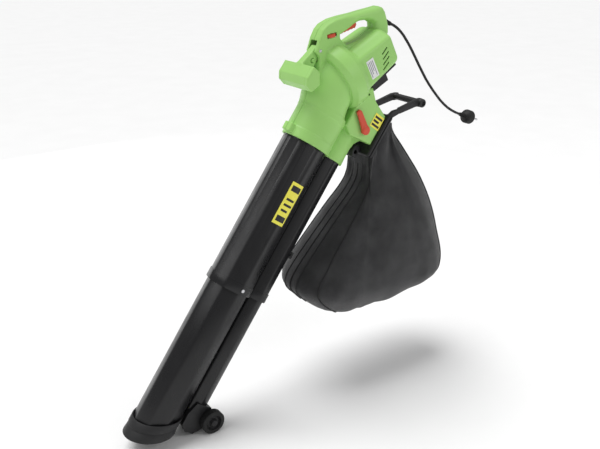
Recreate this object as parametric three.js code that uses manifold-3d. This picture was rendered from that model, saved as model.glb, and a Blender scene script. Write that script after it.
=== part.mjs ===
// An electric garden blower and vacuum, held by its main handle with the duct leaning down to the
// ground. Millimetres, +Z up, +X to the rear, and the operator's left-hand side at -Y.
// Everything rigid is drawn in the tool's own frame, where z runs up the suction duct from the joint
// between its two lengths, x runs to the rear across it, and y = 0 is the plane where the two halves
// of the housing meet. The origin of the finished part is the middle of the main handle's grip.

import * as THREE from 'three';
import { mergeVertices } from 'three/addons/utils/BufferGeometryUtils.js';
import { ConvexGeometry } from 'three/addons/geometries/ConvexGeometry.js';
import Module from 'manifold-3d';

const wasm = await Module();
wasm.setup();

// ---- driving dimensions -------------------------------------------------------------------------

const GAP = 0.3;                            // clearance between pieces that touch
const LEAN = THREE.MathUtils.degToRad(35.6); // of the suction duct from the vertical, in use
const GRIP = { x: -46, z: 646 };            // middle of the main grip in the tool's frame

const UPPER_R = 52;                         // suction duct, upper length, outside
const LOWER_R = 48.8;                       // lower length, which slides into the upper one
const BLOW_X = 73;                          // centre line of the blowing duct behind the suction duct
const UPPER_BLOW_R = 32;
const LOWER_BLOW_R = 28.8;
const WALL = 2.4;
const UPPER_TOP = 353;                      // where the upper ducts enter the housing
const SPIGOT_TOP = 381;
const OVERLAP = 40;                         // of the lower length inside the upper one
const BEAD_TOP = 21;                        // thick band round the foot of the upper length
const LOWER_FOOT = -352;
const BLOW_FOOT = -306;
const MOUTH_BEVEL = THREE.MathUtils.degToRad(25);

const MOTOR = { x: -18, z: 497 };           // middle of the volute's front face
const MOTOR_TILT = THREE.MathUtils.degToRad(27); // of the motor's axis from the duct's
const VOLUTE_R = 77;
const VOLUTE_DEPTH = 46;
const SHELL = 3.5;                          // housing wall

const BOX_HALF = 46;                        // outlet box, half width
const BOX_REAR = 131;                       // its rear face, which the bag collar meets
const HANDLE_HALF = 19;                     // main handle, half thickness

const LEVER = { x: 91, z: 446 };            // shaft of the mode lever
const TRIGGER_PIN = { x: -79, z: 586 };
const DIAL = { x: -88, y: -10.5, z: 573 };
const FRONT_PIN = { x: -95, z: 532 };      // hinge of the front handle
const FRONT_GRIP = { x: -98, z: 468, half: 56 };
const FRONT_BUTTON = { x: -95, z: 508 };    // the lock button in its arm

const AXLE = { x: 112, z: -287 };
const WHEEL_R = 27;
const WHEEL_WIDTH = 19;
const WHEEL_Y = 42;

const CORD_D = 6.2;
const GLAND = { x: 35.6, z: 679.8 };         // where the strain relief leaves the housing
const GLAND_SLOPE = THREE.MathUtils.degToRad(15.6);
// The mains lead's route, from the strain relief to the plug, in the finished part's frame.
const CORD_ROUTE = [
  [101.4, 0, -25.6], [106, 0, -27.3], [111, 0, -29.6], [118, 0, -33.6], [125, 0, -38.5],
  [133, 0, -45.3], [141, 0, -53], [150, 0, -63.8], [160, 0, -76], [172, 0, -92.6],
  [184, 0, -110], [196, 0, -127.8], [209, 0, -146], [221, 0, -162.5], [234, 0, -178],
  [247, 0, -192.5], [260, 0, -206], [273, 0, -219], [287, 0, -231], [301, 0, -241.5],
  [315, 0, -250], [330, 0, -257.6], [345, 0, -264],
];

// ---- colours ------------------------------------------------------------------------------------

function finish(color, roughness, metalness = 0) {
  return new THREE.MeshStandardMaterial({ color, roughness, metalness });
}

const GREEN = [0x9bd672, 0.45];
const GLOSS_BLACK = [0x141414, 0.25];
const MATT_BLACK = [0x1c1c1d, 0.6];
const RED = [0xd2513a, 0.4];
const RUBBER = [0x161616, 0.75];
const FABRIC = [0x202022, 0.9];
const STEEL = [0xb9bcc0, 0.35, 1];
const COPPER = [0xb06a3a, 0.4, 1];
const YELLOW = [0xf0ee62, 0.5];

// ---- solids -------------------------------------------------------------------------------------

// A closed three.js geometry as a solid that can be cut and joined.
function solid(geometry) {
  const bare = geometry.index ? geometry.toNonIndexed() : geometry.clone();
  bare.deleteAttribute('normal');
  bare.deleteAttribute('uv');
  const merged = mergeVertices(bare, 1e-4);
  const index = merged.index.array;
  const kept = [];
  for (let i = 0; i < index.length; i += 3) {
    const [a, b, c] = [index[i], index[i + 1], index[i + 2]];
    if (a !== b && b !== c && c !== a) kept.push(a, b, c);
  }
  const vertProperties = new Float32Array(merged.attributes.position.array);
  return new wasm.Manifold(new wasm.Mesh({ numProp: 3, vertProperties, triVerts: new Uint32Array(kept) }));
}

function join(...pieces) {
  return pieces.reduce((sum, piece) => sum.add(piece));
}

function cut(body, ...tools) {
  return tools.reduce((rest, tool) => rest.subtract(tool), body);
}

// A round bar, or a cone, that runs up the tool's z axis.
function bar(r, z0, z1, x = 0, y = 0, { top = r, sides = 24 } = {}) {
  const g = new THREE.CylinderGeometry(top, r, z1 - z0, sides);
  return solid(g.rotateX(Math.PI / 2).translate(x, y, (z0 + z1) / 2));
}

// A round bar across the tool, from y0 to y1.
function pin(r, y0, y1, x, z, { sides = 20, turn = 0 } = {}) {
  const g = new THREE.CylinderGeometry(r, r, y1 - y0, sides);
  return solid(g.rotateY(turn).translate(x, (y0 + y1) / 2, z));
}

function block(x0, x1, y0, y1, z0, z1) {
  const g = new THREE.BoxGeometry(x1 - x0, y1 - y0, z1 - z0);
  return solid(g.translate((x0 + x1) / 2, (y0 + y1) / 2, (z0 + z1) / 2));
}

// A shape drawn on (x, z) and run across the tool from y0 to y1.
function slab(points, y0, y1) {
  const shape = new THREE.Shape(points.map(([x, z]) => new THREE.Vector2(x, z)));
  const g = new THREE.ExtrudeGeometry(shape, { depth: y1 - y0, bevelEnabled: false });
  return solid(g.rotateX(Math.PI / 2).translate(0, y1, 0));
}

function hull(points) {
  return solid(new ConvexGeometry(points.map(([x, y, z]) => new THREE.Vector3(x, y, z))));
}

function circle(r, z, x = 0, sides = 32) {
  return Array.from({ length: sides }, (_, i) => {
    const a = (2 * Math.PI * i) / sides;
    return [x + r * Math.cos(a), r * Math.sin(a), z];
  });
}

// A turned solid: pairs of [radius, z], from the axis and back to it.
function turned(profile, sides = 28) {
  const g = new THREE.LatheGeometry(profile.map(([r, z]) => new THREE.Vector2(r, z)), sides);
  return solid(g.rotateX(Math.PI / 2));
}

// A solid that was drawn round the motor's axis, moved into the tool's frame.
const motorFrame = new THREE.Matrix4()
  .makeTranslation(MOTOR.x, 0, MOTOR.z)
  .multiply(new THREE.Matrix4().makeRotationY(MOTOR_TILT));

function atMotor(body) {
  return body.transform(motorFrame.elements);
}

function motorPoint([x, y, z]) {
  return new THREE.Vector3(x, y, z).applyMatrix4(motorFrame).toArray();
}

// A solid that was drawn along z from the root of the strain relief, moved into the tool's frame.
function atGland(body) {
  const place = new THREE.Matrix4()
    .makeTranslation(GLAND.x, 0, GLAND.z)
    .multiply(new THREE.Matrix4().makeRotationY(Math.PI / 2 - GLAND_SLOPE));
  return body.transform(place.elements);
}

// ---- the scene graph ----------------------------------------------------------------------------

const group = new THREE.Group();
const tool = new THREE.Group();
tool.rotation.y = LEAN;
group.add(tool);

// A point of the tool's frame in the finished part's frame.
function placed(x, y, z) {
  const [dx, dz] = [x - GRIP.x, z - GRIP.z];
  return [
    dx * Math.cos(LEAN) + dz * Math.sin(LEAN),
    y,
    dz * Math.cos(LEAN) - dx * Math.sin(LEAN),
  ];
}

tool.position.set(
  -GRIP.x * Math.cos(LEAN) - GRIP.z * Math.sin(LEAN),
  0,
  -GRIP.z * Math.cos(LEAN) + GRIP.x * Math.sin(LEAN),
);

function geometryOf(body) {
  const { vertProperties, triVerts } = body.getMesh();
  const g = new THREE.BufferGeometry();
  g.setAttribute('position', new THREE.BufferAttribute(vertProperties, 3));
  g.setIndex(new THREE.BufferAttribute(triVerts, 1));
  g.computeVertexNormals();
  return g;
}

function add(name, body, look, parent = tool) {
  const mesh = new THREE.Mesh(geometryOf(body), finish(...look));
  mesh.name = name;
  parent.add(mesh);
  return mesh;
}

// ---- ducts --------------------------------------------------------------------------------------

// Both ducts side by side, as one outer body between two heights.
function twinBody(r, blowR, z0, z1) {
  return join(bar(r, z0, z1), bar(blowR, z0, z1, BLOW_X));
}

function crescent(blowR, keepOff, z0, z1) {
  return cut(bar(blowR, z0, z1, BLOW_X), bar(keepOff, z0 - 1, z1 + 1));
}

function upperDuct() {
  const spigotR = UPPER_R - 1.7;
  const body = join(
    twinBody(UPPER_R, UPPER_BLOW_R, 0, UPPER_TOP),
    twinBody(UPPER_R + 1.9, UPPER_BLOW_R + 1.9, 0, BEAD_TOP),
    bar(spigotR, UPPER_TOP - 1, SPIGOT_TOP),
    crescent(UPPER_BLOW_R - 0.8, UPPER_R + 4, UPPER_TOP - 1, SPIGOT_TOP),
  );
  const socket = twinBody(LOWER_R + 0.5, LOWER_BLOW_R + 0.5, -1, OVERLAP + 2);
  const bore = bar(spigotR - WALL, OVERLAP, SPIGOT_TOP + 1);
  const blowBore = crescent(UPPER_BLOW_R - 0.8 - WALL, UPPER_R + 4 + WALL, OVERLAP, SPIGOT_TOP + 1);
  return cut(body, socket, bore, blowBore, screwHoles(2.2));
}

function screwHoles(r) {
  return pin(r, -UPPER_R - 5, UPPER_R + 5, 0, BEAD_TOP / 2, { sides: 12 });
}

function lowerDuct() {
  const body = join(
    bar(LOWER_R, LOWER_FOOT, OVERLAP),
    bar(LOWER_BLOW_R, BLOW_FOOT, OVERLAP, BLOW_X),
  );
  const bore = bar(LOWER_R - WALL, LOWER_FOOT - 1, OVERLAP + 1);
  const blowBore = crescent(LOWER_BLOW_R - WALL, LOWER_R, BLOW_FOOT - 1, OVERLAP + 1);
  return cut(body, bore, blowBore, bevel(LOWER_FOOT + 22, LOWER_R + 20), screwHoles(1.5));
}

// Everything below a plane that rises to the rear at the mouth's bevel.
function bevel(z, reach) {
  const g = new THREE.BoxGeometry(4 * reach, 4 * reach, 100);
  return solid(g.translate(0, 0, -50).rotateY(-MOUTH_BEVEL).translate(0, 0, z));
}

function mouthRim() {
  const top = bar(LOWER_R + 2.8, -368, -296);
  const skirt = bar(LOWER_R + 5, -400, -330, 0, 0, { top: LOWER_R + 2.8 });
  const bore = join(bar(LOWER_R + GAP, -334, -290), bar(LOWER_R - WALL, -401, -333));
  const ring = cut(join(top, skirt), bore, bevel(-360, 60));
  const above = solid(
    new THREE.BoxGeometry(260, 260, 100).translate(0, 0, 50).rotateY(-MOUTH_BEVEL).translate(0, 0, -318),
  );
  const blowing = bar(LOWER_BLOW_R + GAP, BLOW_FOOT - 3, -280, BLOW_X);
  return cut(ring, above, bevelSeat(), blowing);
}

// Room for the lower duct's bevelled end inside the rim.
function bevelSeat() {
  const seat = bar(LOWER_R + GAP, -400, -290);
  return cut(seat, bevel(LOWER_FOOT + 22 - GAP, 80));
}

add('upper_duct', upperDuct(), GLOSS_BLACK);
add('lower_duct', lowerDuct(), GLOSS_BLACK);
add('mouth_rim', mouthRim(), MATT_BLACK);

for (const [side, dir] of [['left', -1], ['right', 1]]) {
  const head = pin(3.8, UPPER_R + 2.2, UPPER_R + 4.2, 0, BEAD_TOP / 2, { sides: 16 });
  const shank = pin(1.1, UPPER_R - 4.4, UPPER_R + 3, 0, BEAD_TOP / 2, { sides: 12 });
  const screw = join(head, shank);
  add(`joint_screw_${side}`, dir < 0 ? screw.mirror([0, 1, 0]) : screw, STEEL);
}

// ---- wheels at the foot -------------------------------------------------------------------------

function wheelBracket() {
  const cheek = [
    [50, -318], [66, -331], [88, -331], [104, -316], [124, -298], [124, -276],
    [110, -272], [100, -262], [60, -262], [50, -290],
  ];
  const body = slab(cheek, -30.5, 30.5);
  const duct = bar(LOWER_BLOW_R + GAP, BLOW_FOOT - GAP, -200, BLOW_X);
  const blowing = bar(LOWER_BLOW_R - WALL, -340, -300, BLOW_X);
  const suction = bar(UPPER_R + 0.6, -400, -200);
  return cut(body, duct, blowing, suction, pin(4.4, -40, 40, AXLE.x, AXLE.z, { sides: 24 }));
}

function wheel() {
  const half = WHEEL_WIDTH / 2;
  const profile = [
    [4.5, -half], [WHEEL_R - 4, -half], [WHEEL_R, -half + 3], [WHEEL_R, half - 3],
    [WHEEL_R - 4, half], [WHEEL_R - 9, half], [WHEEL_R - 10, half - 4], [10, half - 4],
    [9, half - 1], [4.5, half - 1], [4.5, -half],
  ];
  return turned(profile, 28);
}

add('wheel_bracket', wheelBracket(), MATT_BLACK);
add('wheel_axle', pin(4, -WHEEL_Y - 9, WHEEL_Y + 9, AXLE.x, AXLE.z, { sides: 24 }), STEEL);
for (const [side, dir] of [['left', -1], ['right', 1]]) {
  const mesh = add(`wheel_${side}`, wheel(), RUBBER);
  mesh.rotation.x = -dir * Math.PI / 2;
  mesh.position.set(AXLE.x, dir * WHEEL_Y, AXLE.z);
  const cap = turned([[0, 0], [7.5, 0], [7.5, 1.5], [4, 4], [0, 4.5]], 16);
  const capMesh = add(`axle_cap_${side}`, cap, MATT_BLACK);
  capMesh.rotation.x = -dir * Math.PI / 2;
  capMesh.position.set(AXLE.x, dir * (WHEEL_Y + WHEEL_WIDTH / 2 + GAP), AXLE.z);
}

// ---- housing ------------------------------------------------------------------------------------

const HANDLE_OUTLINE = [
  [-44, 440], [-54, 462], [-76, 500], [-90, 520], [-104, 524], [-107, 536], [-112, 552], [-114, 570],
  [-111, 584], [-99, 603], [-68, 635], [-43, 660], [-22, 680], [-10, 692], [0, 695], [10, 692],
  [23, 684], [36, 674], [46, 662], [52, 640], [30, 560], [10, 480],
];
const FINGER_HOLE = [
  [-70, 586], [-60, 604], [-50, 622], [-38, 638], [-25, 648], [-12, 654], [-2, 655], [5, 648], [7, 640],
  [-4, 624], [-16, 606], [-30, 590], [-40, 579], [-54, 578], [-64, 580],
];
const HANDLE_HOLLOW = [
  [-92, 551], [-104, 560], [-108, 572], [-104, 584], [-94, 599], [-66, 629], [-50, 645], [-58, 626],
  [-70, 604], [-80, 588], [-84, 572], [-78, 556],
];
const BOX_OUTLINE = [
  [40, 432], [64, 418], [BOX_REAR - 30, 424], [BOX_REAR, 427], [BOX_REAR, 500], [84, 514], [58, 534],
  [40, 520],
];
const BOX_HOLLOW = [
  [61, 438], [BOX_REAR + 5, 438], [BOX_REAR + 5, 494], [82, 508], [62, 516], [48, 482],
];

// The motor's part of the housing: a section that narrows to the rear, shrunk by `inset` all round.
function motorCase(inset, z0, z1) {
  const ring = (x0, x1, half, z) => {
    const [a, b, c] = [x0 + inset, x1 - inset, half - inset];
    const corner = 16 - inset;
    const low = 8 - inset / 2;
    return [
      [a, c - 1.6 * corner, z], [a, -c + 1.6 * corner, z], [a + corner, -c, z], [b - low, -c, z],
      [b, -c + low, z], [b, c - low, z], [b - low, c, z], [a + corner, c, z],
    ];
  };
  return hull([...ring(-50, 44, 62, z0), ...ring(-48, 33, 58, z1 - 10), ...ring(-42, 27, 52, z1)]);
}

function housingOuter() {
  const hub = hull([...circle(55.5, 430), ...circle(64, 4).map(motorPoint)]);
  const volute = turned([[0, 0], [VOLUTE_R - 9, 0], [VOLUTE_R, 11], [VOLUTE_R, VOLUTE_DEPTH - 10],
    [VOLUTE_R - 10, VOLUTE_DEPTH + 4], [0, VOLUTE_DEPTH + 4]], 44);
  const web = [
    [60, UPPER_TOP + GAP], [100, UPPER_TOP + GAP], [97, 378], [98, 394], [104, 410], [116, 425],
    [110, 430], [60, 440],
  ];
  return join(
    bar(55.5, UPPER_TOP + GAP, 440),
    bar(56.7, UPPER_TOP + GAP, 375),
    hub,
    slab(web, -27, 27),
    atMotor(join(volute, motorCase(0, 30, 152))),
    bar(UPPER_BLOW_R + 3.5, UPPER_TOP + GAP, 441, BLOW_X),
    slab(BOX_OUTLINE, -BOX_HALF, BOX_HALF),
    cut(slab(HANDLE_OUTLINE, -HANDLE_HALF, HANDLE_HALF), slab(FINGER_HOLE, -30, 30)),
    block(-66, -50, -14, 14, 357, 376),
  );
}

function housingInner() {
  const hub = hull([...circle(50.8, 428), ...circle(50, 0).map(motorPoint)]);
  return join(
    bar(UPPER_R - 1.4, UPPER_TOP - 2, 430),
    hub,
    atMotor(bar(50, -1, 6)),
    atMotor(turned([
      [0, 4], [66.5, 4], [VOLUTE_R - SHELL, 12.8], [VOLUTE_R - SHELL, 34], [66, 44.5], [0, 44.5],
    ], 44)),
    atMotor(motorCase(SHELL, VOLUTE_DEPTH - 6, 148)),
    crescent(UPPER_BLOW_R - 0.4, 55.6, UPPER_TOP - 2, 442),
    slab(BOX_HOLLOW, -BOX_HALF + SHELL, BOX_HALF - SHELL),
    slab(HANDLE_HOLLOW, -HANDLE_HALF + SHELL, HANDLE_HALF - SHELL),
  );
}

// Slots that let cooling air in and out of the motor's case.
function vents() {
  const slots = [];
  for (let i = 0; i < 4; i += 1) {
    const [x, z] = [-13 + 10.7 * i, 119 - 1.1 * i * i];
    slots.push(atMotor(slab([[x - 5, z + 10], [x - 2, z + 10], [x + 4, z - 10], [x + 1, z - 10]], -80, 80)));
  }
  for (let i = 0; i < 4; i += 1) {
    const [x, z] = [41 + 5.2 * i, 486 + 10.2 * i];
    slots.push(block(x - 1.8, x + 1.8, -80, 80, z - 2.6, z + 2.6));
  }
  return slots;
}

const TRIGGER_SLOT = [
  [-90, 574], [-62, 576], [-28, 616], [-28, 634], [-42, 649], [-48, 646], [-63, 630], [-90, 600],
];

function housing() {
  const grooveForArm = block(-140, -83.5, -11, 11, 470, 547);
  const triggerSlot = slab(TRIGGER_SLOT, -8, 8);
  const dialSlot = solid(
    new THREE.BoxGeometry(25, 28, 8.6).rotateY(-0.76).translate(DIAL.x, -11, DIAL.z),
  );
  return cut(
    housingOuter(),
    housingInner(),
    ...vents(),
    grooveForArm,
    triggerSlot,
    dialSlot,
    atGland(join(bar(5.6, -30, 30, 0, 0, { sides: 24 }), bar(6.8, -5.8, 30, 0, 0, { sides: 24 }))),
    pin(3.4, -30, 30, FRONT_PIN.x, FRONT_PIN.z, { sides: 20 }),
    pin(2.3, -15.5, 15.5, TRIGGER_PIN.x, TRIGGER_PIN.z, { sides: 16 }),
    pin(4.6, 7.9, 14.6, TRIGGER_PIN.x, TRIGGER_PIN.z),
    pin(5.6, -60, 0, LEVER.x, LEVER.z, { sides: 24 }),
    ...HOUSING_SCREWS.map(([x, z, y]) => join(
      pin(2.2, y - 14, y, x, z, { sides: 12 }),
      pin(4.6, y - SCREW_DEPTH, y + 1, x, z),
    )),
  );
}

// The screws that clamp the halves together, sunk in the right-hand side: x, z, y of the face.
const SCREW_DEPTH = 4;
const HOUSING_SCREWS = [
  [-72, 562, HANDLE_HALF], [-33, 657, HANDLE_HALF], [112, 484, BOX_HALF], [112, 434, BOX_HALF],
];

const wholeHousing = housing();
for (const [side, dir] of [['left', -1], ['right', 1]]) {
  const [y0, y1] = dir < 0 ? [-200, -GAP / 2] : [GAP / 2, 200];
  add(`housing_${side}`, wholeHousing.intersect(block(-300, 300, y0, y1, 300, 800)), GREEN);
}
HOUSING_SCREWS.forEach(([x, z, y], i) => {
  const seat = y - SCREW_DEPTH + GAP;
  const screw = join(
    pin(4, seat, seat + 2.4, x, z, { sides: 16 }),
    pin(1.7, y - 13, seat + 1, x, z, { sides: 12 }),
  );
  add(`housing_screw_${i + 1}`, screw, STEEL);
});

// ---- main handle: trigger, speed dial and what they work ----------------------------------------

const TRIGGER_OUTLINE = [
  [-85, 589], [-78, 581], [-69, 581], [-52, 602], [-35, 622], [-36, 630], [-48, 637], [-56, 630], [-80, 594],
];

add('trigger', cut(
  slab(TRIGGER_OUTLINE, -7, 7),
  pin(2.4, -10, 10, TRIGGER_PIN.x, TRIGGER_PIN.z, { sides: 16 }),
), RED);
add('trigger_pin', pin(2, -15.2, 15.2, TRIGGER_PIN.x, TRIGGER_PIN.z, { sides: 16 }), STEEL);
add('switch_module', slab([
  [-102, 563], [-95, 561], [-91, 580], [-92, 590], [-98, 590], [-103, 574],
], 3, 14), MATT_BLACK);

function coilSpring() {
  const turns = 4;
  const points = Array.from({ length: turns * 8 + 1 }, (_, i) => {
    const a = (2 * Math.PI * i) / 8;
    return new THREE.Vector3(3.2 * Math.cos(a), 3.2 * Math.sin(a), (5 * i) / (turns * 8));
  });
  return solid(tube(points, 0.5, turns * 8, 5));
}

function tube(points, r, steps, sides) {
  const section = new THREE.Shape(Array.from({ length: sides }, (_, i) => {
    const a = (2 * Math.PI * i) / sides;
    return new THREE.Vector2(r * Math.cos(a), r * Math.sin(a));
  }));
  const extrudePath = new THREE.CatmullRomCurve3(points);
  return new THREE.ExtrudeGeometry(section, { steps, extrudePath, bevelEnabled: false });
}

const spring = add('trigger_spring', coilSpring(), STEEL);
spring.position.set(TRIGGER_PIN.x, 8.8, TRIGGER_PIN.z);
spring.rotation.x = -Math.PI / 2;

add('speed_dial', solid(
  new THREE.CylinderGeometry(12, 12, 7, 28).rotateZ(Math.PI / 2).rotateY(0.81)
    .translate(DIAL.x, DIAL.y, DIAL.z),
), RED);

// ---- front handle -------------------------------------------------------------------------------

// The grip's section, round its own middle.
const GRIP_SECTION = [[8, -24], [-10, -20], [-19, -6], [-18, 21], [2, 19], [17, -2]];

function frontHandle() {
  const arm = slab([
    [-107, 522], [-104, 538], [-96, 543], [-87, 538], [-85, 528], [-84.5, 512], [-84, 498], [-86, 484],
    [-90, 476], [-106, 476], [-115, 492],
  ], -10, 10);
  const section = GRIP_SECTION.map(([x, z]) => [FRONT_GRIP.x + x, FRONT_GRIP.z + z]);
  const grip = slab(section, -FRONT_GRIP.half, FRONT_GRIP.half);
  const button = pin(4.9, -12, -2, FRONT_BUTTON.x, FRONT_BUTTON.z, { sides: 20 });
  return cut(join(arm, grip), pin(3.6, -20, 20, FRONT_PIN.x, FRONT_PIN.z, { sides: 20 }), button);
}

add('front_handle', frontHandle(), GREEN);
add('front_handle_pin', pin(3.1, -18.5, 18.5, FRONT_PIN.x, FRONT_PIN.z, { sides: 20 }), STEEL);
add('front_handle_button', pin(4.5, -13.5, -5, FRONT_BUTTON.x, FRONT_BUTTON.z, { sides: 20 }), GREEN);

// ---- outlet: mode lever, shaft and flap ---------------------------------------------------------

function modeLever() {
  const hub = pin(10, -57, -BOX_HALF - 0.6, LEVER.x, LEVER.z, { sides: 28 });
  const arm = slab([[LEVER.x + 3, LEVER.z + 7], [LEVER.x - 40, LEVER.z + 29], [LEVER.x - 47, LEVER.z + 28],
    [LEVER.x - 48, LEVER.z + 20], [LEVER.x - 3, LEVER.z - 8]], -55, -49);
  return join(hub, arm);
}

add('mode_lever', modeLever(), RED);
add('diverter_shaft', pin(
  5, -BOX_HALF - GAP, BOX_HALF - SHELL - 1, LEVER.x, LEVER.z, { sides: 24 },
), MATT_BLACK);
add('diverter_flap', slab([[LEVER.x - 4, LEVER.z + 4.2], [LEVER.x - 33, LEVER.z + 19.5],
  [LEVER.x - 34.5, LEVER.z + 16.8], [LEVER.x - 5.6, LEVER.z + 1.4]], -40, 40), MATT_BLACK);

// ---- motor and impeller, drawn round their own axis ---------------------------------------------

const motor = new THREE.Group();
motor.position.set(MOTOR.x, 0, MOTOR.z);
motor.rotation.y = MOTOR_TILT;
tool.add(motor);

function ring(outer, inner, z0, z1, sides = 24) {
  return cut(bar(outer, z0, z1, 0, 0, { sides }), bar(inner, z0 - 1, z1 + 1, 0, 0, { sides }));
}

function impeller() {
  const body = [ring(64, 4.4, 34, 37), ring(13, 4.4, 12, 35)];
  for (let i = 0; i < 8; i += 1) {
    const blade = block(12, 62, -1.3, 1.3, 13, 35).rotate([0, 0, 18]).rotate([0, 0, 45 * i]);
    body.push(blade);
  }
  return join(...body);
}

function endBell(r, z0, z1) {
  return join(ring(r, 20, z0, z0 + 3), ring(22, 11.4, z0, z1));
}

function shredderBlade() {
  const bladeA = block(-30, 30, -5, 5, 6, 8.5);
  return cut(join(bladeA, bladeA.rotate([0, 0, 90])), bar(4.4, 0, 12));
}

function statorCore() {
  return cut(bar(33, 70, 116), bar(20.6, 69, 117), block(-60, -31, -60, 60, 60, 120),
    block(31, 60, -60, 60, 60, 120));
}

add('motor_shaft', bar(4, 3, 142, 0, 0, { sides: 24 }), STEEL, motor);
add('shaft_nut', cut(bar(7.5, 1, 5.6, 0, 0, { sides: 6 }), bar(4.4, 0, 6)), STEEL, motor);
add('shredder_blade', shredderBlade(), STEEL, motor);
add('impeller', impeller(), MATT_BLACK, motor);
add('volute_backplate', ring(66, 14, 39, 42, 36), MATT_BLACK, motor);
add('front_end_bell', endBell(38, 47, 57), MATT_BLACK, motor);
add('front_bearing', ring(11, 4.4, 48, 56, 20), STEEL, motor);
add('cooling_fan', join(ring(9, 4.4, 59, 67), ring(30, 8, 65, 67)), MATT_BLACK, motor);
add('field_core', statorCore(), STEEL, motor);
add('armature', ring(19.5, 4.4, 71, 115), COPPER, motor);
add('commutator', ring(11, 4.4, 118, 129, 24), COPPER, motor);
add('rear_end_bell', endBell(27, 132, 142), MATT_BLACK, motor);
add('rear_bearing', ring(11, 4.4, 132.5, 141, 20), STEEL, motor);
add('brush_left', block(-3, 3, -30, -11.5, 120, 127), MATT_BLACK, motor);
add('brush_right', block(-3, 3, 11.5, 30, 120, 127), MATT_BLACK, motor);

// The cover along the case's lower edge, with the air intake's grille standing out from it.
function ventGrille() {
  const cover = slab([[41.1, 64], [45.1, 64], [37.6, 140], [33.6, 140]], -50, 50);
  const frame = cut(
    join(cover, block(34, 66, -34, 34, 74, 118)),
    block(20, 70, -29, 29, 79, 113),
    motorCase(-GAP, 29, 153),
  );
  const bars = [-18, -6, 6, 18].map((y) => block(48, 61, y - 1.5, y + 1.5, 76, 116));
  return join(frame, ...bars);
}

add('vent_grille', ventGrille(), MATT_BLACK, motor);

// ---- bag collar, frame and bag ------------------------------------------------------------------

function bagCollar() {
  const [x0, x1] = [BOX_REAR + GAP, 148];
  const plate = block(x0, x1, -53, 53, 401, 507);
  const ears = [-1, 1].map((side) => slab(
    [[x0 + 1, 506], [140, 520], [158, 536], [166, 530], [x1, 505]], side * 44 - 4, side * 44 + 4,
  ));
  return cut(join(plate, ...ears), block(x0 - 1, x1 + 1, -42, 42, 438, 494));
}

function bagFrame() {
  const arm = (y) => slab([
    [160.6, 539.2], [169, 532], [198, 562], [212, 572], [206, 585], [190, 574],
  ], y - 4, y + 4);
  return join(
    arm(-41),
    arm(41),
    pin(6.5, -43, 43, 202, 575, { sides: 16 }),
    pin(9, -54, -36, 206, 576, { sides: 24 }),
  );
}

add('bag_collar', bagCollar(), MATT_BLACK);
add('bag_frame', bagFrame(), MATT_BLACK);
add('bag_latch', cut(
  slab([[110, 398], [117, 384], [130.4, 386], [130.4, 411], [122, 417], [110, 412]], -24, 24),
  pin(5, -30, 30, 121, 399, { sides: 16 }),
), MATT_BLACK);

// The bag seen from the side: its widest outline, from the top of the collar round by the rear.
const BAG_OUTLINE = [
  [82, -234], [150, -306], [204, -384], [238, -450], [262, -520], [282, -578], [286, -616], [274, -646],
  [226, -664], [105, -682], [10, -697], [-35, -697], [-98, -680], [-140, -652], [-176, -618],
  [-192, -594], [-184, -566], [-160, -540], [-98, -478], [-46, -424], [2, -368], [22, -312],
];
const BAG_CENTRE = [60, -540];

const BAG_WALL = 2.4;
const BAG_MOUTH = { x: 156, z0: 408, z1: 500, half: 44 };

// The bag's outer form, or the space in it when `inset` is its wall.
function bagForm(inset) {
  const points = [];
  const half = (z) => 48 + 78 * Math.min(1, Math.max(0, (-z - 250) / 280)) - inset;
  const [cx, cz] = BAG_CENTRE;
  for (const [x, z] of BAG_OUTLINE) {
    const reach = Math.hypot(x - cx, z - cz);
    for (const [shrink, swell] of [[1, 0.12], [0.95, 0.5], [0.8, 0.8], [0.5, 1]]) {
      const share = shrink * (1 - 1.2 * inset / reach);
      const [px, pz] = [cx + share * (x - cx), cz + share * (z - cz)];
      points.push([px, -swell * half(pz), pz], [px, swell * half(pz), pz]);
    }
  }
  for (const z of [BAG_MOUTH.z0 + inset, BAG_MOUTH.z1 - inset]) {
    for (const y of [-BAG_MOUTH.half + inset, BAG_MOUTH.half - inset]) {
      points.push(placed(BAG_MOUTH.x - 2 * inset, y, z));
    }
  }
  return hull(points);
}

function bag() {
  return cut(bagForm(0), bagForm(BAG_WALL));
}

add('collection_bag', bag(), FABRIC, group);

function bagHook() {
  const shape = slab([[BLOW_X + 33, 96], [BLOW_X + 37, 96], [BLOW_X + 37, 114], [BLOW_X + 46, 114],
    [BLOW_X + 46, 130], [BLOW_X + 41, 130], [BLOW_X + 41, 119], [BLOW_X + 33, 119]], -6, 6);
  return cut(shape, bar(UPPER_BLOW_R + GAP, 80, 140, BLOW_X));
}

add('bag_hook', bagHook(), MATT_BLACK);

// ---- labels -------------------------------------------------------------------------------------

function ductLabel() {
  const sheet = ring(UPPER_R + 0.8, UPPER_R + 0.3, 170, 268, 96);
  const wedge = block(-100, 100, -100, 0, 160, 280).intersect(block(-16, 16, -80, 0, 100, 300));
  return sheet.intersect(wedge);
}

add('duct_label', ductLabel(), YELLOW);
add('mode_label', slab([
  [99, 462], [129, 462], [129, 494], [99, 494],
], -BOX_HALF - 0.8, -BOX_HALF - GAP), YELLOW);

// ---- mains lead ---------------------------------------------------------------------------------

add('cord_gland', atGland(turned([
  [0, -24], [5, -24], [5, -6], [6.4, -5.5], [6.4, 2], [4.2, 16], [0, 16],
], 24)), RUBBER);
add('mains_cord', solid(tube(
  CORD_ROUTE.map(([x, y, z]) => new THREE.Vector3(x, y, z)), CORD_D / 2, 36, 8,
)), RUBBER, group);

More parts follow.
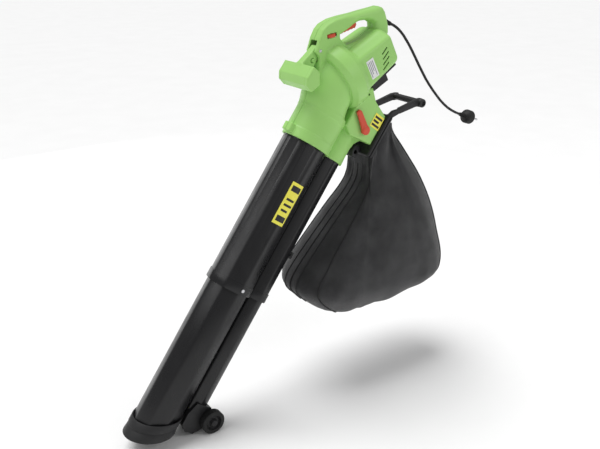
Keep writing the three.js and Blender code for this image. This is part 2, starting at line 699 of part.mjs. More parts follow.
function plugBody() {
  const body = turned([
    [0, 0], [4.4, 0], [7.5, 18], [9, 20], [16.5, 24], [17.5, 27], [17.5, 40], [16, 42], [0, 42],
  ], 24);
  const prong = turned([[0, 41], [2.4, 41], [2.4, 58], [1.6, 60], [0, 60]], 10);
  return join(body, ...[-9.5, 9.5].map((y) => prong.translate([0, y, 0])));
}

const plug = add('mains_plug', plugBody(), RUBBER, group);
plug.position.set(345.6, 0, -264.2);
plug.rotation.y = Math.PI / 2 + THREE.MathUtils.degToRad(20);

export default group;
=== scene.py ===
# Looks of an electric garden blower and vacuum: moulded housing, twin duct, cloth bag and mains lead.
# Rigid pieces are drawn in the tool's frame in millimetres: z up the suction duct, x to the rear, y across.
import math

import bmesh
import bpy
import numpy as np
from mathutils import Matrix, Vector


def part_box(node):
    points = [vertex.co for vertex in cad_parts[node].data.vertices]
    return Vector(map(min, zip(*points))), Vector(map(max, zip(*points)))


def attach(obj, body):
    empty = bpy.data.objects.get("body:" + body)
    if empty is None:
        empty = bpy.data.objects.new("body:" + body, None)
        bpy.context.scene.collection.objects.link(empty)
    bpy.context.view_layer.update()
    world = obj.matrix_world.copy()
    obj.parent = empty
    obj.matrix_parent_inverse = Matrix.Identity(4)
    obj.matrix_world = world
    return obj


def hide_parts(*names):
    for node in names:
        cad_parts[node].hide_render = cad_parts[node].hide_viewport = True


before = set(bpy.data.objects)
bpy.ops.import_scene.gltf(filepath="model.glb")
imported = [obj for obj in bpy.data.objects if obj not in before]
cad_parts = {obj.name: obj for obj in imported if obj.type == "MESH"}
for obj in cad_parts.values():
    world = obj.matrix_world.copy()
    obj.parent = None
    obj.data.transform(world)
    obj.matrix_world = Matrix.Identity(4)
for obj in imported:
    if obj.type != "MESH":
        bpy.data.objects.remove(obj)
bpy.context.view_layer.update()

# ---- frames and driving dimensions -----------------------------------------------------------------

MM = 0.001
LEAN = math.radians(35.6)
MOTOR_TILT = math.radians(27)
GLAND_SLOPE = math.radians(15.6)
GLAND_X, GLAND_Z = 35.6, 679.8
MOTOR_X, MOTOR_Z = -18, 497

TOOL = Matrix.Scale(MM, 4) @ Matrix.Rotation(LEAN, 4, "Y") @ Matrix.Translation((46, 0, -646))
MOTOR = TOOL @ Matrix.Translation((MOTOR_X, 0, MOTOR_Z)) @ Matrix.Rotation(MOTOR_TILT, 4, "Y")
GLAND = TOOL @ Matrix.Translation((GLAND_X, 0, GLAND_Z)) @ Matrix.Rotation(math.pi / 2 - GLAND_SLOPE, 4, "Y")

UPPER_R, LOWER_R = 52, 48.8
BLOW_X, UPPER_BLOW_R, LOWER_BLOW_R = 73, 32, 28.8
WALL = 2.4
UPPER_TOP, SPIGOT_TOP, BEAD_TOP, OVERLAP = 353, 381, 21, 40
BLOW_FOOT, LOWER_FOOT = -306, -352
MOUTH_BEVEL = math.radians(25)
SHELL = 3.2
BOX_HALF, HANDLE_HALF = 46, 19
LEVER_X, LEVER_Z = 91, 446
DIAL_X, DIAL_Y, DIAL_Z = -88, -10.5, 573
DIAL_SLOPE = -0.76
AXLE_X, AXLE_Z, WHEEL_R, WHEEL_Y = 112, -287, 27, 42
FLOOR_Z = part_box("wheel_left")[0][2]

# ---- camera ----------------------------------------------------------------------------------------

camera_data = bpy.data.cameras.new("camera")
camera_data.sensor_width = 36
camera_data.lens = 44.634
camera_data.clip_end = 60
camera = bpy.data.objects.new("camera", camera_data)
bpy.context.scene.collection.objects.link(camera)
camera.location = (-1.0420, -1.2849, 0.1852)
camera.rotation_mode = "QUATERNION"
camera.rotation_quaternion = Vector((0.5300, 0.7598, -0.3766)).to_track_quat("-Z", "Y")
bpy.context.scene.camera = camera

# ---- materials -------------------------------------------------------------------------------------


def material(name, colour, roughness, metallic=0.0, specular=0.5, sheen=0.0, coat=0.0):
    """A Principled material whose constants sit on the shader's own sockets."""
    made = bpy.data.materials.new(name)
    made.use_nodes = True
    shader = made.node_tree.nodes["Principled BSDF"]
    shader.inputs["Base Color"].default_value = (*colour, 1)
    shader.inputs["Roughness"].default_value = roughness
    shader.inputs["Metallic"].default_value = metallic
    shader.inputs["Specular IOR Level"].default_value = specular
    shader.inputs["Sheen Weight"].default_value = sheen
    shader.inputs["Coat Weight"].default_value = coat
    return made


def node(made, kind, **settings):
    found = made.node_tree.nodes.new(kind)
    for key, value in settings.items():
        if key in found.inputs:
            found.inputs[key].default_value = value
        else:
            setattr(found, key, value)
    return found


def link(made, out, into):
    made.node_tree.links.new(out, into)


def noise(made, scale, detail=3.0, stretch=None):
    """Noise on the object's own coordinates, longer along an axis where stretch is small."""
    place = node(made, "ShaderNodeTexCoord").outputs["Object"]
    if stretch:
        mapping = node(made, "ShaderNodeMapping", Scale=stretch)
        link(made, place, mapping.inputs["Vector"])
        place = mapping.outputs["Vector"]
    texture = node(made, "ShaderNodeTexNoise", Scale=scale, Detail=detail)
    link(made, place, texture.inputs["Vector"])
    return texture.outputs["Fac"]


def ramp(made, fac, stops):
    """Maps fac to greys or colours given as (position, value)."""
    found = node(made, "ShaderNodeValToRGB")
    link(made, fac, found.inputs["Fac"])
    elements = found.color_ramp.elements
    while len(elements) < len(stops):
        elements.new(0.5)
    for element, (position, value) in zip(elements, stops):
        element.position = position
        element.color = (*value, 1) if hasattr(value, "__len__") else (value, value, value, 1)
    return found.outputs["Color"]


def shader_of(made):
    return made.node_tree.nodes["Principled BSDF"]


def bump(made, height, distance, strength=1.0, after=None):
    found = node(made, "ShaderNodeBump", Distance=distance, Strength=strength)
    link(made, height, found.inputs["Height"])
    if after is not None:
        link(made, after.outputs["Normal"], found.inputs["Normal"])
    link(made, found.outputs["Normal"], shader_of(made).inputs["Normal"])
    return found


def moulded_plastic(name, colour, roughness, grain, tint=0.06, stretch=None, coat=0.0):
    """Plastic with the fine grain of its mould, faint clouds of colour, and rubbed and dull patches."""
    made = material(name, colour, roughness, specular=0.35, coat=coat)
    low = [c * (1 - tint) for c in colour]
    high = [c * (1 + tint) for c in colour]
    clouds = ramp(made, noise(made, 9, 4, stretch), [(0.3, low), (0.7, high)])
    link(made, clouds, shader_of(made).inputs["Base Color"])
    rubbed, matt = roughness * 0.85, min(1, roughness * 1.25)
    dull = ramp(made, noise(made, 38, 5, stretch), [(0.35, rubbed), (0.75, matt)])
    link(made, dull, shader_of(made).inputs["Roughness"])
    first = bump(made, noise(made, 1400, 2), 0.00012, grain)
    bump(made, noise(made, 60, 2, stretch), 0.0006, 0.08, after=first)
    return made


def fabric(name):
    """Black woven polyester: a plain weave of crossed threads, lint, and slightly rubbed patches."""
    made = material(name, (0.022, 0.022, 0.024), 0.85, sheen=0.25)
    shader_of(made).inputs["Sheen Roughness"].default_value = 0.45
    place = node(made, "ShaderNodeTexCoord").outputs["Object"]
    threads = []
    for axis in ("X", "Z"):
        wave = node(
            made, "ShaderNodeTexWave", wave_type="BANDS", bands_direction=axis, Scale=420.0, Distortion=0.6
        )
        link(made, place, wave.inputs["Vector"])
        threads.append(wave.outputs["Fac"])
    weave = node(made, "ShaderNodeMath", operation="MAXIMUM")
    link(made, threads[0], weave.inputs[0])
    link(made, threads[1], weave.inputs[1])
    patches = ramp(made, noise(made, 14, 5), [(0.3, (0.012, 0.012, 0.013)), (0.72, (0.036, 0.036, 0.038))])
    mix = node(made, "ShaderNodeMixRGB", blend_type="MULTIPLY", Fac=0.45)
    link(made, patches, mix.inputs["Color1"])
    link(made, ramp(made, weave.outputs[0], [(0.0, 0.35), (1.0, 1.0)]), mix.inputs["Color2"])
    link(made, mix.outputs["Color"], shader_of(made).inputs["Base Color"])
    dull = ramp(made, noise(made, 30, 4), [(0.3, 0.72), (0.7, 0.95)])
    link(made, dull, shader_of(made).inputs["Roughness"])
    first = bump(made, weave.outputs[0], 0.0004, 0.5)
    bump(made, noise(made, 25, 4), 0.004, 0.22, after=first)
    return made


def metal(name, colour, roughness):
    """Bright metal with fine turning and drawing marks."""
    made = material(name, colour, roughness, metallic=1.0)
    marks = ramp(made, noise(made, 220, 4, (1, 8, 1)), [(0.3, roughness * 0.8), (0.7, roughness * 1.3)])
    link(made, marks, shader_of(made).inputs["Roughness"])
    bump(made, noise(made, 700, 2, (1, 10, 1)), 0.00008, 0.3)
    return made


GREEN = moulded_plastic("housing_green", (0.33, 0.62, 0.17), 0.42, 0.28, tint=0.03)
DUCT = moulded_plastic("duct_black", (0.009, 0.009, 0.010), 0.3, 0.05, stretch=(1, 1, 0.2))
TRIM = moulded_plastic("trim_black", (0.017, 0.017, 0.018), 0.5, 0.45)
RED = moulded_plastic("control_red", (0.62, 0.075, 0.035), 0.35, 0.2)
RUBBER = moulded_plastic("rubber_black", (0.012, 0.012, 0.012), 0.62, 0.6)
FABRIC = fabric("bag_polyester")
WEBBING = moulded_plastic("webbing_black", (0.016, 0.016, 0.017), 0.8, 0.9)
STEEL = metal("plated_steel", (0.55, 0.55, 0.57), 0.3)
COPPER = metal("winding_copper", (0.72, 0.32, 0.16), 0.38)
YELLOW = moulded_plastic("label_yellow", (0.86, 0.80, 0.10), 0.4, 0.05)
WHITE = moulded_plastic("label_white", (0.80, 0.80, 0.80), 0.4, 0.05)
INK = moulded_plastic("label_ink", (0.02, 0.02, 0.022), 0.5, 0.05)
GREY_INK = moulded_plastic("label_grey_ink", (0.25, 0.25, 0.29), 0.5, 0.05)

# ---- pieces ----------------------------------------------------------------------------------------


def piece(name, mesh, made, body, replaced=(), smooth=35):
    """Puts a finished mesh in the scene as a named piece that rides on a body."""
    made = made if isinstance(made, list) else [made]
    obj = bpy.data.objects.new(name, mesh)
    bpy.context.scene.collection.objects.link(obj)
    slots = [face.material_index for face in mesh.polygons]
    mesh.materials.clear()
    for m in made:
        mesh.materials.append(m)
    mesh.polygons.foreach_set("material_index", [min(i, len(made) - 1) for i in slots])
    shade(mesh, smooth)
    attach(obj, body)
    if replaced:
        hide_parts(*replaced)
    return obj


def shade(mesh, angle):
    """Smooth shading, with edges sharper than the angle left crisp."""
    for polygon in mesh.polygons:
        polygon.use_smooth = True
    form = bmesh.new()
    form.from_mesh(mesh)
    limit = math.radians(angle)
    for edge in form.edges:
        edge.smooth = len(edge.link_faces) == 2 and edge.calc_face_angle(0) < limit
    form.to_mesh(mesh)
    form.free()


def mesh_of(name, points, faces, matrix=Matrix()):
    mesh = bpy.data.meshes.new(name)
    mesh.from_pydata([tuple(p) for p in points], [], [tuple(int(i) for i in f) for f in faces])
    mesh.transform(matrix)
    mesh.update()
    return mesh


def evaluated(obj):
    """The object's mesh with its modifiers applied."""
    graph = bpy.context.evaluated_depsgraph_get()
    return bpy.data.meshes.new_from_object(obj.evaluated_get(graph))


def combined(mesh, other, operation):
    """Joins or cuts two closed meshes."""
    pair = [bpy.data.objects.new("working", m) for m in (mesh, other)]
    for obj in pair:
        bpy.context.scene.collection.objects.link(obj)
    modifier = pair[0].modifiers.new("cut", "BOOLEAN")
    modifier.operation = operation
    modifier.solver = "EXACT"
    modifier.object = pair[1]
    done = evaluated(pair[0])
    for obj in pair:
        bpy.data.objects.remove(obj)
    return done


def softened(mesh, width, segments=2, angle=30):
    """Rounds a mesh's sharp edges."""
    obj = bpy.data.objects.new("working", mesh)
    bpy.context.scene.collection.objects.link(obj)
    modifier = obj.modifiers.new("soft", "BEVEL")
    modifier.width = width
    modifier.segments = segments
    modifier.limit_method = "ANGLE"
    modifier.angle_limit = math.radians(angle)
    done = evaluated(obj)
    bpy.data.objects.remove(obj)
    return done


# ---- moulded forms: distances to solids, sampled on a grid and skinned ---------------------------------


def union(a, b, fillet=0.0):
    """The nearer of two solids, with a fillet where they meet."""
    if not fillet:
        return np.minimum(a, b)
    near = np.maximum(fillet - np.abs(a - b), 0) / fillet
    return np.minimum(a, b) - near * near * fillet * 0.25


def common(a, b, fillet=0.0):
    return -union(-a, -b, fillet)


def run(section, along, start, end, soft=0.0):
    """A section drawn out from start to end, with edges rounded by soft."""
    side = section + soft
    cap = np.abs(along - (start + end) / 2) - (end - start) / 2 + soft
    return np.minimum(np.maximum(side, cap), 0) + np.hypot(np.maximum(side, 0), np.maximum(cap, 0)) - soft


def outline(u, v, points):
    """Distance to a closed outline, negative inside."""
    nearest = None
    inside = None
    count = len(points)
    for i in range(count):
        ax, ay = points[i]
        bx, by = points[(i + 1) % count]
        ex, ey = bx - ax, by - ay
        px, py = u - ax, v - ay
        t = np.clip((px * ex + py * ey) / (ex * ex + ey * ey), 0, 1)
        square = (px - t * ex) ** 2 + (py - t * ey) ** 2
        nearest = square if nearest is None else np.minimum(nearest, square)
        if ay != by:
            crosses = ((v >= ay) != (v >= by)) & (px < ex * py / ey)
            inside = crosses if inside is None else inside ^ crosses
    return np.where(inside, -1, 1) * np.sqrt(nearest)


def capsule(u, v, a, b, r):
    """A stroke from a to b with round ends."""
    ex, ey = b[0] - a[0], b[1] - a[1]
    t = np.clip(((u - a[0]) * ex + (v - a[1]) * ey) / (ex * ex + ey * ey), 0, 1)
    return np.hypot(u - a[0] - t * ex, v - a[1] - t * ey) - r


def block(x, y, z, low, high, soft=0.0):
    half = [(b - a) / 2 - soft for a, b in zip(low, high)]
    off = [np.abs(p - (a + b) / 2) - h for p, a, b, h in zip((x, y, z), low, high, half)]
    outside = np.sqrt(sum(np.maximum(o, 0) ** 2 for o in off))
    return outside + np.minimum(np.maximum(np.maximum(off[0], off[1]), off[2]), 0) - soft


def turned(u, v, w, x0, z0, angle):
    """Coordinates along axes that are turned about y at (x0, z0)."""
    du, dw = u - x0, w - z0
    return du * math.cos(angle) - dw * math.sin(angle), v, du * math.sin(angle) + dw * math.cos(angle)


def skin(distance, low, step):
    """Quads round the place where the sampled distance changes sign."""
    inside = distance < 0
    cells_each_way = [n - 1 for n in distance.shape]
    corners = [np.array((i, j, k)) for i in (0, 1) for j in (0, 1) for k in (0, 1)]
    held = np.zeros(cells_each_way, np.int8)
    for corner in corners:
        held += inside[tuple(slice(c, c + n) for c, n in zip(corner, cells_each_way))]
    cells = np.argwhere((held > 0) & (held < 8))
    values = np.stack([distance[tuple((cells + corner).T)] for corner in corners], 1)
    total = np.zeros((len(cells), 3))
    hits = np.zeros(len(cells))
    for a in range(8):
        for b in range(a + 1, 8):
            if np.abs(corners[a] - corners[b]).sum() != 1:
                continue
            va, vb = values[:, a], values[:, b]
            crosses = (va < 0) != (vb < 0)
            t = np.where(crosses, va / np.where(crosses, va - vb, 1), 0)
            total += (corners[a] + t[:, None] * (corners[b] - corners[a])) * crosses[:, None]
            hits += crosses
    points = np.array(low) + step * (cells + total / hits[:, None])
    index = np.full(cells_each_way, -1)
    index[tuple(cells.T)] = np.arange(len(cells))
    faces = []
    for axis in range(3):
        u, v = np.eye(3, dtype=int)[(axis + 1) % 3], np.eye(3, dtype=int)[(axis + 2) % 3]
        below = inside.take(range(inside.shape[axis] - 1), axis)
        above = inside.take(range(1, inside.shape[axis]), axis)
        edges = np.argwhere(below != above)
        flip = below[tuple(edges.T)]
        quad = np.stack([index[tuple((edges - s).T)] for s in (0 * u, u, u + v, v)], 1)
        quad[~flip] = quad[~flip][:, ::-1]
        faces.append(quad)
    return points, np.concatenate(faces)


def moulded(name, form, low, high, step, matrix=TOOL, relax=2):
    """A mesh of the solid whose distance form(x, y, z) gives, in millimetres of the matrix's frame."""
    counts = [int(math.ceil((b - a) / step)) + 1 for a, b in zip(low, high)]
    axes = [(a + step * np.arange(n)).astype(np.float32) for a, n in zip(low, counts)]
    x, y, z = axes[0].reshape(-1, 1, 1), axes[1].reshape(1, -1, 1), axes[2].reshape(1, 1, -1)
    distance = np.broadcast_to(form(x, y, z), counts).astype(np.float32)
    points, faces = skin(distance, low, step)
    points = relaxed(points, faces, relax)
    mesh = bpy.data.meshes.new(name)
    mesh.vertices.add(len(points))
    mesh.vertices.foreach_set("co", points.astype(np.float32).ravel())
    mesh.loops.add(faces.size)
    mesh.loops.foreach_set("vertex_index", faces.astype(np.int32).ravel())
    mesh.polygons.add(len(faces))
    mesh.polygons.foreach_set("loop_start", np.arange(0, faces.size, 4, dtype=np.int32))
    mesh.update(calc_edges=True)
    mesh.validate()
    mesh.transform(matrix)
    return mesh


def relaxed(points, faces, rounds):
    """Evens out the small steps that a grid leaves, without shrinking the form."""
    a, b = faces.ravel(), np.roll(faces, -1, 1).ravel()
    degree = np.bincount(a, minlength=len(points)) + np.bincount(b, minlength=len(points))
    for _ in range(rounds):
        for weight in (0.5, -0.52):
            mean = np.stack(
                [
                    np.bincount(a, points[b, k], len(points)) + np.bincount(b, points[a, k], len(points))
                    for k in range(3)
                ],
                1,
            ) / np.maximum(degree, 1)[:, None]
            points = points + weight * (mean - points)
    return points


# ---- turned and drawn meshes -----------------------------------------------------------------------


def lathe(name, profile, matrix, segments=72, shear=0.0):
    """A closed profile of (radius, height) turned about z; shear slants it along x."""
    points, faces = [], []
    for i in range(segments):
        a = 2 * math.pi * i / segments
        for r, h in profile:
            points.append((r * math.cos(a), r * math.sin(a), h + shear * r * math.cos(a)))
    count = len(profile)
    for i in range(segments):
        for j in range(count):
            this, after = i * count, (i + 1) % segments * count
            faces.append((this + j, after + j, after + (j + 1) % count, this + (j + 1) % count))
    return outward(mesh_of(name, points, faces, matrix))


def outward(mesh):
    """Merges doubled points and turns all faces outward."""
    form = bmesh.new()
    form.from_mesh(mesh)
    bmesh.ops.remove_doubles(form, verts=form.verts, dist=1e-6)
    bmesh.ops.recalc_face_normals(form, faces=form.faces)
    form.to_mesh(mesh)
    form.free()
    return mesh


def prism(name, section, z0, z1, matrix=TOOL):
    """A closed section of (x, y) drawn out along z."""
    count = len(section)
    points = [(x, y, z) for z in (z0, z1) for x, y in section]
    faces = [tuple(range(count))[::-1], tuple(range(count, 2 * count))]
    faces += [(i, (i + 1) % count, count + (i + 1) % count, count + i) for i in range(count)]
    return outward(mesh_of(name, points, faces, matrix))


def round_section(r, x=0.0, count=96):
    angles = [2 * math.pi * i / count for i in range(count)]
    return [(x + r * math.cos(a), r * math.sin(a)) for a in angles]


def eight_sided(r, x=0.0, count=144, flatness=0.62):
    """A round section with eight gently flattened sides and soft corners, one of them in front."""
    eighth = math.pi / 4
    angles = np.arange(count) * 2 * math.pi / count
    from_middle = (angles % eighth) - eighth / 2
    radii = r * (math.cos(eighth / 2) / np.cos(from_middle)) ** flatness
    for _ in range(2):
        radii = (np.roll(radii, 1) + 2 * radii + np.roll(radii, -1)) / 4
    return [(x + q * math.cos(a), q * math.sin(a)) for a, q in zip(angles, radii)]


# ---- small parts: helpers --------------------------------------------------------------------------


def slabs(name, items, matrix, soft=0.0003):
    """Thin plates and bars in one mesh; each item is (low corner, high corner, material index)."""
    form = bmesh.new()
    for low, high, index in items:
        made = bmesh.ops.create_cube(form, size=1)["verts"]
        for vert in made:
            vert.co = Vector([(a + b) / 2 + c * (b - a) for a, b, c in zip(low, high, vert.co)])
        for face in {f for v in made for f in v.link_faces}:
            face.material_index = index
    mesh = bpy.data.meshes.new(name)
    form.to_mesh(mesh)
    form.free()
    mesh.transform(matrix)
    return softened(mesh, soft) if soft else mesh


def layered(name, meshes):
    """Several meshes as one; each keeps its place in the list of materials."""
    form = bmesh.new()
    for index, mesh in enumerate(meshes):
        start = len(form.faces)
        form.from_mesh(mesh)
        form.faces.ensure_lookup_table()
        for face in form.faces[start:]:
            face.material_index = index
    done = bpy.data.meshes.new(name)
    form.to_mesh(done)
    form.free()
    return done


def across(x, z, side=-1, y=0.0):
    """A frame at tool (x, z) whose z axis points out of the near or far side."""
    return TOOL @ Matrix.Translation((x, y, z)) @ Matrix.Rotation(-side * math.pi / 2, 4, "X")


def tube(name, path, r, sides=8, matrix=Matrix()):
    """A round strand along a path of points."""
    path = [Vector(p) for p in path]
    points, faces = [], []
    normal = (path[1] - path[0]).orthogonal().normalized()
    for i, p in enumerate(path):
        along = (path[min(i + 1, len(path) - 1)] - path[max(i - 1, 0)]).normalized()
        normal = (normal - along * normal.dot(along)).normalized()
        other = along.cross(normal)
        for k in range(sides):
            a = 2 * math.pi * k / sides
            points.append(p + r * (math.cos(a) * normal + math.sin(a) * other))
    for i in range(len(path) - 1):
        for k in range(sides):
            n = (k + 1) % sides
            faces.append((i * sides + k, i * sides + n, (i + 1) * sides + n, (i + 1) * sides + k))
    faces += [tuple(range(sides))[::-1], tuple(range(len(points) - sides, len(points)))]
    return outward(mesh_of(name, points, faces, matrix))


def joined(name, meshes):
    """Several meshes of one material as one."""
    form = bmesh.new()
    for mesh in meshes:
        form.from_mesh(mesh)
    done = bpy.data.meshes.new(name)
    form.to_mesh(done)
    form.free()
    return done


# ---- mains lead ------------------------------------------------------------------------------------

CORD_D = 0.0062
CORD_ROUTE = [
    (101.4, -25.6), (106, -27.3), (111, -29.6), (118, -33.6), (125, -38.5), (133, -45.3),
    (141, -53), (150, -63.8), (160, -76), (172, -92.6), (184, -110), (196, -127.8),
    (209, -146), (221, -162.5), (234, -178), (247, -192.5), (260, -206), (273, -219),
    (287, -231), (301, -241.5), (315, -250), (330, -257.6), (345, -264),
]
PLUG_TURN = Matrix.Rotation(math.radians(110), 4, "Y")
PLUG = Matrix.Translation((0.3456, 0, -0.2642)) @ PLUG_TURN @ Matrix.Scale(MM, 4)


def cord():
    """The lead leaves its relief, bends over under its weight and drops to the plug."""
    data = bpy.data.curves.new("lead", "CURVE")
    data.dimensions = "3D"
    data.bevel_depth = CORD_D / 2
    data.bevel_resolution = 5
    data.use_fill_caps = True
    line = data.splines.new("POLY")
    line.points.add(len(CORD_ROUTE) - 1)
    for point, (x, z) in zip(line.points, CORD_ROUTE):
        point.co = (x * MM, 0, z * MM, 1)
    lead = bpy.data.objects.new("lead", data)
    bpy.context.scene.collection.objects.link(lead)
    data.materials.append(RUBBER)
    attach(lead, "blower")
    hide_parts("mains_cord")
    return lead


def ribbed(r0, r1, z0, z1, ribs, depth):
    """A taper of ridges and grooves."""
    pitch = (z1 - z0) / ribs
    found = []
    for i in range(ribs):
        z = z0 + i * pitch
        r = r0 + (r1 - r0) * i / ribs
        found += [(r, z + 0.1 * pitch), (r, z + 0.55 * pitch)]
        found += [(r - depth, z + 0.65 * pitch), (r - depth, z + pitch)]
    return found


def strain_relief():
    profile = [(0, -24), (5, -24), (5, -6), (6.4, -5.5), (6.4, 1)]
    profile += ribbed(5.9, 4.5, 1, 15, 5, 1.1) + [(3.9, 16), (0, 16)]
    piece("relief_sleeve", lathe("relief", profile, GLAND, 40), RUBBER, "blower", ["cord_gland"])


def plug():
    """A round plug with a ribbed sleeve, two side notches and two pins."""
    profile = [(0, 0.4)] + ribbed(4.4, 7.6, 0.4, 18, 5, 0.9)
    profile += [(9, 20), (15.5, 23), (17, 25), (17.5, 27.5), (17.5, 40.5), (16.6, 42), (0, 42)]
    body = lathe("plug", profile, PLUG, 56)
    for side in (-1, 1):
        notch = slabs("notch", [((side * 15.2 - 3, -3, 30), (side * 15.2 + 3, 3, 50), 0)], PLUG, 0)
        body = combined(body, notch, "DIFFERENCE")
    pins = []
    for y in (-9.5, 9.5):
        pin = [(0, 41.5), (2.4, 41.5), (2.4, 58), (1.9, 59.6), (0, 60)]
        pins.append(lathe("pin", pin, PLUG @ Matrix.Translation((0, y, 0)), 24))
    whole = layered("plug", [softened(body, 0.0004), joined("pins", pins)])
    return piece("plug_body", whole, [RUBBER, STEEL], "blower", ["mains_plug"])


lead = cord()
strain_relief()
plug_piece = plug()

# ---- ducts -----------------------------------------------------------------------------------------


def twin(name, r, blow_r, z0, z1):
    suction = prism(name, eight_sided(r), z0, z1)
    blowing = prism(name, eight_sided(blow_r, BLOW_X), z0 + 0.01, z1 - 0.01)
    return combined(suction, blowing, "UNION")


def crescent(name, blow_r, keep_off, z0, z1):
    """The blowing passage, which the suction tube's wall cuts into."""
    return combined(
        prism(name, round_section(blow_r, BLOW_X), z0, z1),
        prism(name, round_section(keep_off), z0 - 1, z1 + 1),
        "DIFFERENCE",
    )


def upper_duct():
    spigot_r = UPPER_R - 1.7
    body = twin("upper_duct", UPPER_R, UPPER_BLOW_R, 0.5, UPPER_TOP)
    for extra in (
        twin("bead", UPPER_R + 1.9, UPPER_BLOW_R + 1.9, 0, BEAD_TOP),
        prism("spigot", round_section(spigot_r), UPPER_TOP - 5, SPIGOT_TOP),
        crescent("blow_spigot", UPPER_BLOW_R - 0.8, UPPER_R + 4, UPPER_TOP - 5, SPIGOT_TOP - 0.5),
    ):
        body = combined(body, extra, "UNION")
    for hollow in (
        twin("socket", LOWER_R + 0.5, LOWER_BLOW_R + 0.5, -1, OVERLAP + 2),
        prism("bore", round_section(spigot_r - WALL), OVERLAP, SPIGOT_TOP + 1),
        crescent("blow_bore", UPPER_BLOW_R - 0.8 - WALL, UPPER_R + 4 + WALL, OVERLAP, SPIGOT_TOP + 1),
    ):
        body = combined(body, hollow, "DIFFERENCE")
    return softened(body, 0.7 * MM)


def slanted_foot(z, depth=100):
    """Everything below a plane that rises to the rear as the mouth does."""
    reach = 300
    box = [(x, y) for x, y in ((-reach, -reach), (reach, -reach), (reach, reach), (-reach, reach))]
    place = TOOL @ Matrix.Translation((0, 0, z)) @ Matrix.Rotation(-MOUTH_BEVEL, 4, "Y")
    return prism("foot", box, -depth, 0, place)


def lower_duct():
    suction = prism("lower_duct", eight_sided(LOWER_R), LOWER_FOOT, OVERLAP)
    blowing = prism("blowing", eight_sided(LOWER_BLOW_R, BLOW_X), BLOW_FOOT, OVERLAP - 0.01)
    body = combined(suction, blowing, "UNION")
    for hollow in (
        prism("bore", round_section(LOWER_R - 3.2), LOWER_FOOT - 1, OVERLAP + 1),
        crescent("blow_bore", LOWER_BLOW_R - WALL, LOWER_R, BLOW_FOOT - 1, OVERLAP + 1),
        slanted_foot(LOWER_FOOT + 22),
    ):
        body = combined(body, hollow, "DIFFERENCE")
    return softened(body, 0.6 * MM)


def mouth_rim():
    """The bevelled foot: a band, a groove and a flared lip, all slanted as the mouth is."""
    low = -360
    profile = [
        (LOWER_R + 0.3, low + 42), (LOWER_R + 2.3, low + 42), (LOWER_R + 2.8, low + 41.2),
        (LOWER_R + 2.8, low + 24.5), (LOWER_R + 2.2, low + 23.5), (LOWER_R + 1.2, low + 23),
        (LOWER_R + 1.2, low + 20.6), (LOWER_R + 1.6, low + 19.8), (LOWER_R + 3.4, low + 4),
        (LOWER_R + 3.5, low + 1.2), (LOWER_R + 2.6, low), (LOWER_R - 2, low), (LOWER_R - 2.6, low + 0.8),
        (LOWER_R - 2.6, low + 26), (LOWER_R + 0.3, low + 27),
    ]
    ring = lathe("mouth_rim", profile, TOOL, 128, math.tan(MOUTH_BEVEL))
    blowing = prism("blowing", eight_sided(LOWER_BLOW_R + 0.5, BLOW_X), BLOW_FOOT - 3, -250)
    return combined(ring, blowing, "DIFFERENCE")


piece("upper_duct_shell", upper_duct(), DUCT, "blower", ["upper_duct"])
piece("lower_duct_shell", lower_duct(), DUCT, "blower", ["lower_duct"])
piece("mouth_lip", mouth_rim(), TRIM, "blower", ["mouth_rim"])

# ---- housing ---------------------------------------------------------------------------------------

HANDLE_OUTLINE = [
    (-44, 440), (-54, 462), (-76, 500), (-90, 520), (-104, 524), (-107, 536), (-112, 552), (-114, 570),
    (-111, 584), (-99, 603), (-68, 635), (-43, 660), (-22, 680), (-10, 692), (0, 695), (10, 692),
    (23, 684), (36, 674), (46, 662), (52, 640), (30, 560), (10, 480),
]
FINGER_HOLE = [
    (-70, 586), (-60, 604), (-50, 622), (-38, 638), (-25, 648), (-12, 654), (-2, 655), (5, 648), (7, 640),
    (-4, 624), (-16, 606), (-30, 590), (-40, 579), (-54, 578), (-64, 580),
]
BOX_OUTLINE = [(40, 432), (64, 418), (101, 424), (131, 427), (131, 500), (84, 514), (58, 534), (40, 520)]
WEB_OUTLINE = [(60, 353.3), (100, 353.3), (97, 378), (98, 394), (104, 410), (116, 425), (110, 430), (60, 440)]
TRIGGER_SLOT = [
    (-90, 574), (-62, 576), (-28, 616), (-28, 634), (-42, 649), (-48, 646), (-63, 630), (-90, 600),
]
VENT_SLOTS = [(-13, 119, 9), (-2.3, 117.9, 10), (8.4, 114.6, 11), (19.1, 109.1, 10)]
SCREWS = [(-72, 562, HANDLE_HALF), (-33, 657, HANDLE_HALF), (112, 484, BOX_HALF), (112, 434, BOX_HALF)]
HINGE_X, HINGE_Z = 122.4, 430
NECK_R, HUB_R = 55.5, 61
FRONT_PIN = (-95, 532)
FRONT_BUTTON = (-95, 508)
PIN_HOLE_R = 3.3
VOLUTE_R = 77


def hub_form(x, y, z):
    """The elbow between the duct's axis and the motor's, which swells to the volute."""
    out, up = HINGE_X - x, z - HINGE_Z
    reach, turn = np.hypot(out, up), np.arctan2(up, out)
    share = np.clip(turn / MOTOR_TILT, 0, 1)
    middle = HINGE_X + 33.1 * share
    tube = np.hypot(reach - middle, y) - (NECK_R + (HUB_R - NECK_R) * share)
    return np.maximum(tube, np.maximum((turn - MOTOR_TILT) * reach - 4, -turn * reach - 4))


def motor_case_form(xm, y, zm):
    """The box round the motor, which narrows to the rear and has a sloping shoulder on each side."""
    share = np.clip((zm - 30) / 112, -0.3, 1.3)
    front, rear, half = -50 + 2 * share, 44 - 11 * share, 62 - 4 * share
    across = np.abs(y)
    shoulder = (-(xm - front) * 25.6 + (across - half + 25.6) * 16) / 30.2
    lower = (xm - rear + across - half + 8) / math.sqrt(2)
    form = common(front - xm, xm - rear, 2)
    form = common(form, across - half, 3)
    form = common(common(form, shoulder, 5), lower, 4)
    return common(common(form, zm - 152, 16), 30 - zm, 2)


